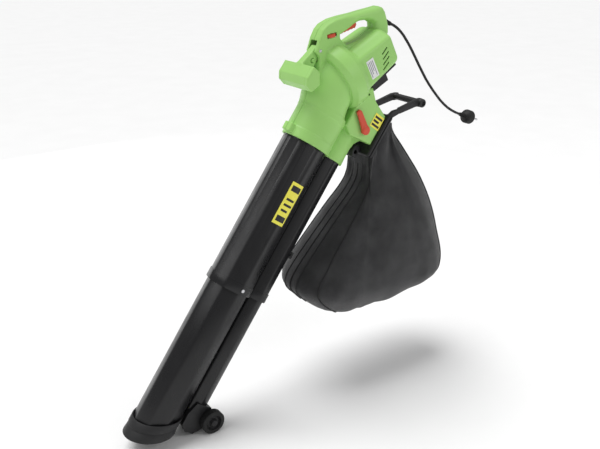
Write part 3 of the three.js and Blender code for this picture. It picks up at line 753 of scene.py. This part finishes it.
def volute_form(xm, y, zm):
    ring = np.hypot(xm, y)
    rim = [
        (-9, 1.5), (VOLUTE_R - 10, 1.5), (VOLUTE_R - 1.5, 10), (VOLUTE_R - 1.5, 35),
        (VOLUTE_R - 11, 48.5), (-9, 48.5),
    ]
    return outline(ring, zm, rim) - 1.5


def handle_form(x, y, z):
    """The plate of the spine and head, which turns into a round grip above the finger hole."""
    section = np.maximum(outline(x, z, HANDLE_OUTLINE), -outline(x, z, FINGER_HOLE))
    soft = 4.5 + 8 * np.clip((z - 592 + 0.35 * x) / 26, 0, 1)
    return run(section, y, -HANDLE_HALF, HANDLE_HALF, soft)


def housing_form(x, y, z):
    """The whole housing as a filled solid, without its openings."""
    xm, _, zm = turned(x, y, z, MOTOR_X, MOTOR_Z, MOTOR_TILT)
    ring = np.hypot(x, y)
    form = run(ring - NECK_R, z, UPPER_TOP + 0.3, 438, 1)
    form = union(form, hub_form(x, y, z), 5)
    form = union(form, run(ring - NECK_R - 1.1, z, UPPER_TOP + 0.3, 376, 1), 1)
    body = union(volute_form(xm, y, zm), motor_case_form(xm, y, zm), 7)
    form = union(form, body, 0.8)
    blow_ring = np.hypot(x - BLOW_X, y)
    socket = run(blow_ring - UPPER_BLOW_R - 3.5, z, UPPER_TOP + 0.3, 442, 3)
    socket = union(socket, run(outline(x, z, WEB_OUTLINE), y, -27, 27, 6), 6)
    box = run(outline(x, z, BOX_OUTLINE), y, -BOX_HALF, BOX_HALF, 4)
    form = union(form, union(socket, box, 4), 1.5)
    form = union(form, handle_form(x, y, z), 4)
    lug = block(x, y, z, (-67, -13, 357), (-48, 13, 376), 2.5)
    return union(form, lug, 2)


def housing_openings(x, y, z):
    """Where the shell is open: sockets for the ducts, outlet, vents and the slots of the controls."""
    xm, _, zm = turned(x, y, z, MOTOR_X, MOTOR_Z, MOTOR_TILT)
    across = np.abs(y)
    ring = np.hypot(x, y)
    open_form = run(ring - (UPPER_R - 1.4), z, 340, 384)
    blow = np.hypot(x - BLOW_X, y) - (UPPER_BLOW_R - 0.4)
    open_form = union(open_form, np.maximum(run(blow, z, 340, 400), NECK_R - ring))
    open_form = union(open_form, block(x, y, z, (100, -42, 438), (160, 42, 494), 3))
    for x0, z0, half in VENT_SLOTS:
        end = (x0 + 0.33 * half, z0 - 0.94 * half)
        start = (x0 - 0.33 * half, z0 + 0.94 * half)
        open_form = union(open_form, run(capsule(xm, zm, start, end, 1.3), across, 40, 90))
    for i in range(4):
        low = (39.2 + 5.2 * i, 40, 483.4 + 10.2 * i)
        open_form = union(open_form, block(x, across, z, low, (low[0] + 3.6, 90, low[2] + 5.2), 0.8))
    open_form = union(open_form, block(x, y, z, (-145, -11, 470), (-83.5, 11, 547), 1))
    open_form = union(open_form, run(outline(x, z, TRIGGER_SLOT), y, -8, 8))
    dx, _, dz = turned(x, y, z, DIAL_X, DIAL_Z, DIAL_SLOPE)
    open_form = union(open_form, block(dx, y, dz, (-12.5, -25, -4.3), (12.5, 3, 4.3), 0.8))
    gx, _, gz = turned(x, y, z, GLAND_X, GLAND_Z, math.pi / 2 - GLAND_SLOPE)
    open_form = union(open_form, run(np.hypot(gx, y) - 5.6, gz, -40, 30))
    open_form = union(open_form, run(np.hypot(gx, y) - 6.8, gz, -5.8, 30))
    open_form = union(open_form, run(np.hypot(x - FRONT_PIN[0], z - FRONT_PIN[1]) - PIN_HOLE_R, y, -30, 30))
    open_form = union(open_form, run(np.hypot(x - LEVER_X, z - LEVER_Z) - 5.6, y, -60, 0))
    for sx, sz, face in SCREWS:
        open_form = union(open_form, run(np.hypot(x - sx, z - sz) - 4.6, y, face - 4, face + 10))
    return open_form


def housing_half(side):
    """One half of the moulded shell, from the plane where the halves meet."""

    def form(x, y, z):
        filled = housing_form(x, y, z)
        shell = np.maximum(filled, -(filled + SHELL))
        bosses = np.full_like(shell, 1e3)
        for sx, sz, face in SCREWS:
            bosses = np.minimum(bosses, run(np.hypot(x - sx, z - sz) - 7.5, y, -face + 1, face - 1))
        shell = np.minimum(shell, np.maximum(bosses, filled))
        shell = np.maximum(shell, -housing_openings(x, y, z))
        return common(shell, 0.2 - side * y, 0.9)

    step = 1.15
    low, high = ((-142, -84, 348), (142, 3, 700)) if side < 0 else ((-142, -3, 348), (142, 84, 700))
    name = "left" if side < 0 else "right"
    mesh = moulded(f"housing_{name}", form, low, high, step, relax=8)
    return piece(f"housing_shell_{name}", mesh, GREEN, "blower", [f"housing_{name}"], smooth=50)


for side in (-1, 1):
    housing_half(side)

# ---- controls --------------------------------------------------------------------------------------

TRIGGER_OUTLINE = [
    (-85, 589), (-78, 581), (-69, 581), (-52, 602), (-35, 622), (-36, 630), (-48, 637), (-56, 630),
    (-80, 594),
]
GRIP_X, GRIP_Z, GRIP_HALF = -97, 468, 54
GRIP_SECTION = [(8, -24), (-10, -20), (-19, -6), (-18, 21), (2, 19), (17, -2)]
ARM_OUTLINE = [
    (-107, 522), (-104, 538), (-96, 543), (-87, 538), (-85, 528), (-84.5, 512), (-84, 498), (-86, 484),
    (-90, 476), (-106, 476), (-115, 492),
]
LEVER_ARM = [(95, 454), (53, 476), (45, 475), (43, 467), (86, 438)]


def trigger_form(x, y, z):
    body = run(outline(x, z, TRIGGER_OUTLINE), y, -7, 7, 3)
    for i in range(5):
        rib = np.hypot(x + 61.5 - 6 * i, z - 589.5 - 7.2 * i) - 2.2
        body = common(body, -run(rib, y, -9, 9), 1)
    return body


def lever_form(x, y, z):
    knob = run(np.hypot(x - LEVER_X, z - LEVER_Z) - 10, y, -57, -46.8, 2.5)
    arm = run(outline(x, z, LEVER_ARM), y, -55.5, -49, 2.4)
    return union(knob, arm, 4)


def dial_outline():
    """Thirty ridges round the rim."""
    return [
        ((12 - 0.9 * (i % 2)) * math.cos(math.pi * i / 30), (12 - 0.9 * (i % 2)) * math.sin(math.pi * i / 30))
        for i in range(60)
    ]


def grip_form(x, y, z):
    """The many-sided cross grip on its arm, with a line where each end cap meets it."""
    section = outline(x - GRIP_X, z - GRIP_Z, GRIP_SECTION) + 2.5
    grip = run(section - 2.5, y, -GRIP_HALF, GRIP_HALF, 2.5)
    for end in (-1, 1):
        line = np.maximum(np.abs(y - end * (GRIP_HALF - 9)) - 0.9, -(section - 1.7))
        grip = common(grip, -line, 0.5)
    arm = run(outline(x, z, ARM_OUTLINE), y, -10, 10, 3)
    arm = np.maximum(arm, -(np.hypot(x - FRONT_PIN[0], z - FRONT_PIN[1]) - PIN_HOLE_R))
    button = np.maximum(np.hypot(x - FRONT_BUTTON[0], z - FRONT_BUTTON[1]) - 5.1, y + 2)
    return np.maximum(union(grip, arm, 6), -button)


piece("trigger_lever", moulded("trigger", trigger_form, (-88, -9, 578), (-32, 9, 640), 0.8), RED, "trigger",
      ["trigger"], smooth=50)
piece("selector_lever", moulded("lever", lever_form, (38, -60, 432), (104, -44, 480), 0.8), RED,
      "mode_selector", ["mode_lever"], smooth=50)
piece("cross_grip", moulded("grip", grip_form, (-120, -59, 440), (-78, 59, 546), 1.1), GREEN, "front_handle",
      ["front_handle"], smooth=50)
DIAL = TOOL @ Matrix.Translation((DIAL_X, DIAL_Y, DIAL_Z)) @ Matrix.Rotation(DIAL_SLOPE, 4, "Y")
piece("speed_wheel", softened(prism("dial", dial_outline(), -3.5, 3.5, DIAL), 0.4 * MM), RED, "speed_dial",
      ["speed_dial"])
button_profile = [(0, 0), (4.2, 0), (4.2, 6.5), (3.9, 7.4), (3.2, 8), (1.6, 8.5), (0, 8.6)]
piece("release_button", lathe("button", button_profile, across(*FRONT_BUTTON, -1, -5), 40), GREEN,
      "handle_button", ["front_handle_button"])

# ---- outlet collar, bag frame and latch --------------------------------------------------------------


def collar_form(x, y, z):
    plate = block(x, y, z, (131.3, -53, 401), (148, 53, 507), 5)
    lip = block(x, y, z, (137, -50.5, 403.5), (147, 50.5, 504.5), 4)
    groove = np.maximum(np.abs(x - 139.5) - 1, -lip - 2.5)
    ear_points = [(133, 500), (140, 520), (158, 536), (166, 530), (148, 505)]
    ears = run(outline(x, z, ear_points), np.abs(y) - 44, -4, 4, 2)
    whole = union(np.maximum(plate, -groove), ears, 4)
    return np.maximum(whole, -block(x, y, z, (125, -42, 438), (155, 42, 494), 4))


def frame_form(x, y, z):
    arm_points = [(156.6, 533.9), (165, 526.7), (198, 562), (212, 572), (206, 585), (190, 574)]
    arms = run(outline(x, z, arm_points) - 1.5, np.abs(y) - 41, -5, 5, 3)
    bar = run(np.hypot(x - 202, z - 575) - 7.5, y, -43, 43, 2)
    boss = run(np.hypot(x - 206, z - 576) - 10, y, -54, -36, 2.5)
    dimple = run(np.hypot(x - 206, z - 576) - 5.5, y, -60, -50)
    return np.maximum(union(union(arms, bar, 4), boss, 3), -dimple)


def latch_form(x, y, z):
    points = [(110.5, 398), (117, 385), (130.2, 386.5), (130.2, 411), (122, 416.5), (110.5, 412)]
    plate = run(outline(x, z, points), y, -24, 24, 3)
    hollow = run(np.hypot(x - 121, z - 399) - 4.6, y, -40, 40)
    return np.maximum(plate, -hollow)


piece("collar_frame", moulded("collar", collar_form, (128, -56, 398), (170, 56, 540), 1.2), TRIM, "blower",
      ["bag_collar"], smooth=50)
piece("carry_frame", moulded("carry", frame_form, (151, -57, 521), (219, 57, 592), 1.1), TRIM, "blower",
      ["bag_frame"], smooth=50)
piece("latch_pad", moulded("latch", latch_form, (107, -27, 382), (133, 27, 420), 1.0), TRIM, "bag_latch",
      ["bag_latch"], smooth=50)

# ---- wheels ----------------------------------------------------------------------------------------


def wheel(side, name):
    """A ribbed tyre on a dished disc; the pressed cap on the axle's end is carried over from model.glb."""
    place = across(AXLE_X, AXLE_Z, side, side * WHEEL_Y)
    tread = []
    for i in range(5):
        h = -6.4 + 3.2 * i
        tread += [(WHEEL_R, h - 1.1), (WHEEL_R, h + 1.1), (WHEEL_R - 0.9, h + 1.3), (WHEEL_R - 0.9, h + 1.9)]
    tyre = [(17.5, -9), (WHEEL_R - 3, -9.5), (WHEEL_R - 1, -8.6)] + tread[:-2]
    tyre += [(WHEEL_R - 1, 8.6), (WHEEL_R - 3, 9.5), (18.5, 9.2), (17.5, 8)]
    disc = [
        (4.6, -9), (16.9, -9), (16.9, 7), (15.6, 8), (14.6, 5.5), (13, 4), (9.5, 4.4), (8.6, 6.5),
        (7.8, 8.6), (4.6, 8.8),
    ]
    body = f"{name}_wheel"
    piece(f"tyre_{name}", lathe("tyre", tyre, place, 72), RUBBER, body, [f"wheel_{name}"])
    piece(f"wheel_disc_{name}", lathe("disc", disc, place, 72), TRIM, body)


wheel(-1, "left")
wheel(1, "right")

# ---- labels ----------------------------------------------------------------------------------------


def wrapped(name, x0, x1, z0, z1, off, thick=0.3):
    """A patch that follows the upper duct's near side between two lengths of its outline."""
    section = [p for p in eight_sided(UPPER_R, count=288) if p[1] < 0 and x0 <= p[0] <= x1]
    inner = [(p[0] * (1 + off / UPPER_R), p[1] * (1 + off / UPPER_R)) for p in section]
    outer = [(p[0] * (1 + (off + thick) / UPPER_R), p[1] * (1 + (off + thick) / UPPER_R)) for p in section]
    return prism(name, inner + outer[::-1], z0, z1)


def duct_label():
    """A yellow patch with plain dark bars."""
    sheets = [wrapped("patch", -16, 16, 170, 268, 0.3)]
    bars = [
        wrapped("bar", -12, 12, 248, 261, 0.65),
        wrapped("bar", -11, 10, 226, 231, 0.65),
        wrapped("bar", -11, 11, 213, 218, 0.65),
        wrapped("bar", -11, 6, 200, 205, 0.65),
        wrapped("bar", -12, 12, 177, 190, 0.65),
    ]
    return layered("duct_label", [sheets[0], layered("bars", bars)])


piece("duct_patch", duct_label(), [YELLOW, INK], "blower", ["duct_label"])

FACE = -BOX_HALF - 0.35
mode_plates = [((99, FACE - 0.4, 462), (129, FACE, 494), 0)]
mode_plates += [
    ((102, FACE - 0.6, 466 + 9 * i), (126 - 6 * (i % 2), FACE - 0.3, 471 + 9 * i), 1) for i in range(3)
]
piece("mode_patch", slabs("mode", mode_plates, TOOL, 0), [YELLOW, INK], "blower", ["mode_label"])

# The case's near side leans 4 mm over the length that the plate sits on.
PLATE = MOTOR @ Matrix.Translation((2, -60.9, 73)) @ Matrix.Rotation(math.radians(2), 4, "X")
rating = [((-22, -0.5, -10), (22, 0.1, 10), 0)]
rating += [((-18, -0.7, -8 + 4.2 * i), (18 - 6 * (i % 3), -0.4, -6.4 + 4.2 * i), 1) for i in range(4)]
piece("rating_patch", slabs("rating", rating, PLATE, 0), [WHITE, GREY_INK], "blower")

# ---- cloth bag -------------------------------------------------------------------------------------

# The front and rear line of the bag in the part's own frame, as (x, z), from its mouth to its base.
BAG_FRONT = [
    (19, -311), (14, -338), (0, -368), (-24, -398), (-56, -430), (-94, -470), (-130, -508), (-162, -544),
    (-184, -574), (-188, -597), (-172, -621), (-140, -649), (-98, -676), (-52, -688),
]
BAG_REAR = [
    (78, -230), (116, -266), (156, -318), (192, -368), (222, -420), (246, -474), (264, -526), (279, -574),
    (284, -608), (279, -634), (258, -650), (222, -662), (160, -676), (80, -684),
]
BAG_DEPTH = [46, 52, 66, 80, 93, 104, 113, 120, 122, 121, 113, 96, 66, 22]
BAG_SLACK = 0.016  # the farthest that the cloth may move from the sewn shape, in metres
BAG_SQUARENESS = [5.5, 4.2, 3.4, 3, 2.8, 2.7, 2.6, 2.6, 2.6, 2.6, 2.6, 2.5, 2.4, 2.2]


def spline(values, count):
    """Points spaced along a smooth curve through the values."""
    values = np.array(values, float)
    padded = np.concatenate([[2 * values[0] - values[1]], values, [2 * values[-1] - values[-2]]])
    t = np.linspace(0, len(values) - 1, count)
    i = np.minimum(t.astype(int), len(values) - 2)
    f = (t - i).reshape(-1, *([1] * (values.ndim - 1)))
    a, b, c, d = (padded[i + k] for k in range(4))
    return 0.5 * (2 * b + (c - a) * f + (2 * a - 5 * b + 4 * c - d) * f**2 + (3 * b - a - 3 * c + d) * f**3)


RINGS, AROUND = 64, 112
CLOTH_FRAMES = 25


def bag_points():
    """Rings from the mouth to the base; each starts at the front and goes round by the near side."""
    front, rear = spline(BAG_FRONT, RINGS), spline(BAG_REAR, RINGS)
    depth, square = spline(BAG_DEPTH, RINGS), spline(BAG_SQUARENESS, RINGS)
    angles = 2 * np.pi * np.arange(AROUND) / AROUND
    points = np.zeros((RINGS, AROUND, 3))
    for i in range(RINGS):
        power = 2 / square[i]
        along = np.sign(np.cos(angles)) * np.abs(np.cos(angles)) ** power
        out = np.sign(np.sin(angles)) * np.abs(np.sin(angles)) ** power
        middle, reach = (front[i] + rear[i]) / 2, (front[i] - rear[i]) / 2
        points[i, :, 0] = middle[0] + along * reach[0]
        points[i, :, 1] = -out * depth[i]
        points[i, :, 2] = middle[1] + along * reach[1]
    return points


def bag_faces():
    faces = []
    for i in range(RINGS - 1):
        for j in range(AROUND):
            n = (j + 1) % AROUND
            faces.append((i * AROUND + j, i * AROUND + n, (i + 1) * AROUND + n, (i + 1) * AROUND + j))
    last = (RINGS - 1) * AROUND
    for j in range(AROUND // 2 - 1):
        a, b = last + j, last + j + 1
        c, d = last + AROUND - 1 - j, last + AROUND - 2 - j
        faces.append((a, b, d, c))
    return faces


def hung_bag():
    """The sewn shell, filled out by the air in it and dragged down by its own weight."""
    start = bag_points()
    mesh = mesh_of("collection_bag", start.reshape(-1, 3) * MM, bag_faces())
    obj = bpy.data.objects.new("working", mesh)
    bpy.context.scene.collection.objects.link(obj)
    held = obj.vertex_groups.new(name="held")
    for i in range(RINGS):
        held.add(list(range(i * AROUND, (i + 1) * AROUND)), max(0.0, 1 - i / 3), "REPLACE")
    cloth = obj.modifiers.new("cloth", "CLOTH")
    settings = cloth.settings
    settings.quality = 7
    settings.mass = 0.25
    settings.tension_stiffness = 12
    settings.compression_stiffness = 8
    settings.shear_stiffness = 4
    settings.bending_stiffness = 0.25
    settings.vertex_group_mass = "held"
    settings.shrink_min = -0.045
    settings.use_pressure = True
    settings.uniform_pressure_force = 1.2
    settings.effector_weights.gravity = 0.6
    cloth.collision_settings.use_collision = False
    scene = bpy.context.scene
    for number in range(1, CLOTH_FRAMES + 1):
        scene.frame_set(number)
    done = evaluated(obj)
    scene.frame_set(1)
    bpy.data.objects.remove(obj)
    moved = np.zeros(len(done.vertices) * 3)
    done.vertices.foreach_get("co", moved)
    before = start.reshape(-1, 3) * MM
    shift = moved.reshape(-1, 3) - before
    size = np.linalg.norm(shift, axis=1, keepdims=True)
    shift *= BAG_SLACK * np.tanh(size / BAG_SLACK) / np.maximum(size, 1e-9)
    done.vertices.foreach_set("co", (before + shift).ravel())
    done.update()
    return done


def lifted(points, off):
    """The ring grid pushed out from the middle of each ring."""
    middle = points.mean(axis=1, keepdims=True)
    away = points - middle
    return points + away / np.linalg.norm(away, axis=2, keepdims=True) * off


def bag():
    mesh = hung_bag()
    flat = np.zeros(len(mesh.vertices) * 3)
    mesh.vertices.foreach_get("co", flat)
    grid = flat.reshape(RINGS, AROUND, 3)
    shell = piece("bag_cloth", mesh, FABRIC, "blower", ["collection_bag"], smooth=80)
    finer = shell.modifiers.new("finer", "SUBSURF")
    finer.levels = finer.render_levels = 1
    seams = []
    outer = lifted(grid, 0.0008)
    for column in (10, 46, AROUND - 10, AROUND - 46):
        seams.append(tube("seam", outer[1:60, column], 0.0016, 6))
    piece("bag_piping", joined("piping", seams), WEBBING, "blower", smooth=60)
    zip_line = lifted(grid, 0.0012)
    tapes = [tube("tape", zip_line[4:52, column % AROUND], 0.0012, 6) for column in (-2, 2)]
    teeth = tube("teeth", zip_line[4:52, 0], 0.0018, 8)
    piece("bag_zip", joined("zip", tapes + [teeth]), TRIM, "blower", smooth=60)


bag()

# ---- carried-over parts -----------------------------------------------------------------------------

FINISHES = {
    "housing_screw": STEEL, "joint_screw": STEEL, "wheel_axle": STEEL, "axle_cap": TRIM,
    "wheel_bracket": TRIM,
    "trigger_pin": STEEL, "trigger_spring": STEEL, "switch_module": TRIM, "front_handle_pin": STEEL,
    "diverter_shaft": STEEL, "diverter_flap": TRIM, "motor_shaft": STEEL, "shaft_nut": STEEL,
    "shredder_blade": STEEL, "impeller": STEEL, "volute_backplate": TRIM, "front_end_bell": STEEL,
    "front_bearing": STEEL, "cooling_fan": TRIM, "field_core": STEEL, "armature": COPPER,
    "commutator": COPPER,
    "rear_end_bell": STEEL, "rear_bearing": STEEL, "brush": COPPER, "vent_grille": TRIM, "bag_hook": TRIM,
}
for name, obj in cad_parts.items():
    finish = next((made for start, made in FINISHES.items() if name.startswith(start)), None)
    if finish is None:
        continue
    obj.data.materials.clear()
    obj.data.materials.append(finish)
    edge = obj.modifiers.new("edge", "BEVEL")
    edge.width = 0.0004
    edge.segments = 2
    edge.limit_method = "ANGLE"
    edge.angle_limit = math.radians(35)

# ---- studio ----------------------------------------------------------------------------------------

FLOOR_HALF = 12


def lit(name, kind, place, aim, energy):
    """A lamp that shines on the object and in its gloss but isn't seen itself."""
    data = bpy.data.lights.new(name, kind)
    data.energy = energy
    lamp = bpy.data.objects.new(name, data)
    bpy.context.scene.collection.objects.link(lamp)
    lamp.location = place
    lamp.rotation_mode = "QUATERNION"
    lamp.rotation_quaternion = (Vector(aim) - Vector(place)).to_track_quat("-Z", "Y")
    lamp.visible_camera = False
    return lamp


def soft_box(name, place, aim, size, power):
    lamp = lit(name, "AREA", place, aim, power)
    lamp.data.shape = "RECTANGLE"
    lamp.data.size, lamp.data.size_y = size
    return lamp


def studio():
    """A pale floor under soft light from above, in front, beside and behind."""
    r = FLOOR_HALF
    floor_mesh = mesh_of("floor", [(-r, -r, 0), (r, -r, 0), (r, r, 0), (-r, r, 0)], [(0, 1, 2, 3)])
    floor_mesh.transform(Matrix.Translation((0, 0, FLOOR_Z - 0.0005)))
    floor = bpy.data.objects.new("floor", floor_mesh)
    bpy.context.scene.collection.objects.link(floor)
    paper = material("paper_white", (0.93, 0.93, 0.93), 0.9, specular=0.1)
    mottle = ramp(paper, noise(paper, 6, 3), [(0.3, 0.92), (0.7, 0.94)])
    link(paper, mottle, shader_of(paper).inputs["Base Color"])
    floor_mesh.materials.append(paper)
    middle = (0, 0, -0.4)
    sky = lit("sky", "SUN", (-0.6, 0.9, 3), middle, 2.1)
    sky.data.angle = math.radians(40)
    lights = [
        sky,
        soft_box("front", (-2.0, 0.1, 1.2), middle, (1.0, 1.0), 7),
        soft_box("side", (1.2, -2.4, 1.2), middle, (1.0, 1.0), 16),
        soft_box("back", (-0.2, 2.2, 0.0), (-0.2, 0, -0.4), (0.9, 1.7), 4),
    ]
    world = bpy.data.worlds.new("world")
    bpy.context.scene.world = world
    world.use_nodes = True
    world.node_tree.nodes["Background"].inputs["Color"].default_value = (1, 1, 1, 1)
    world.node_tree.nodes["Background"].inputs["Strength"].default_value = 0.38
    bpy.context.scene.view_settings.view_transform = "Standard"


studio()
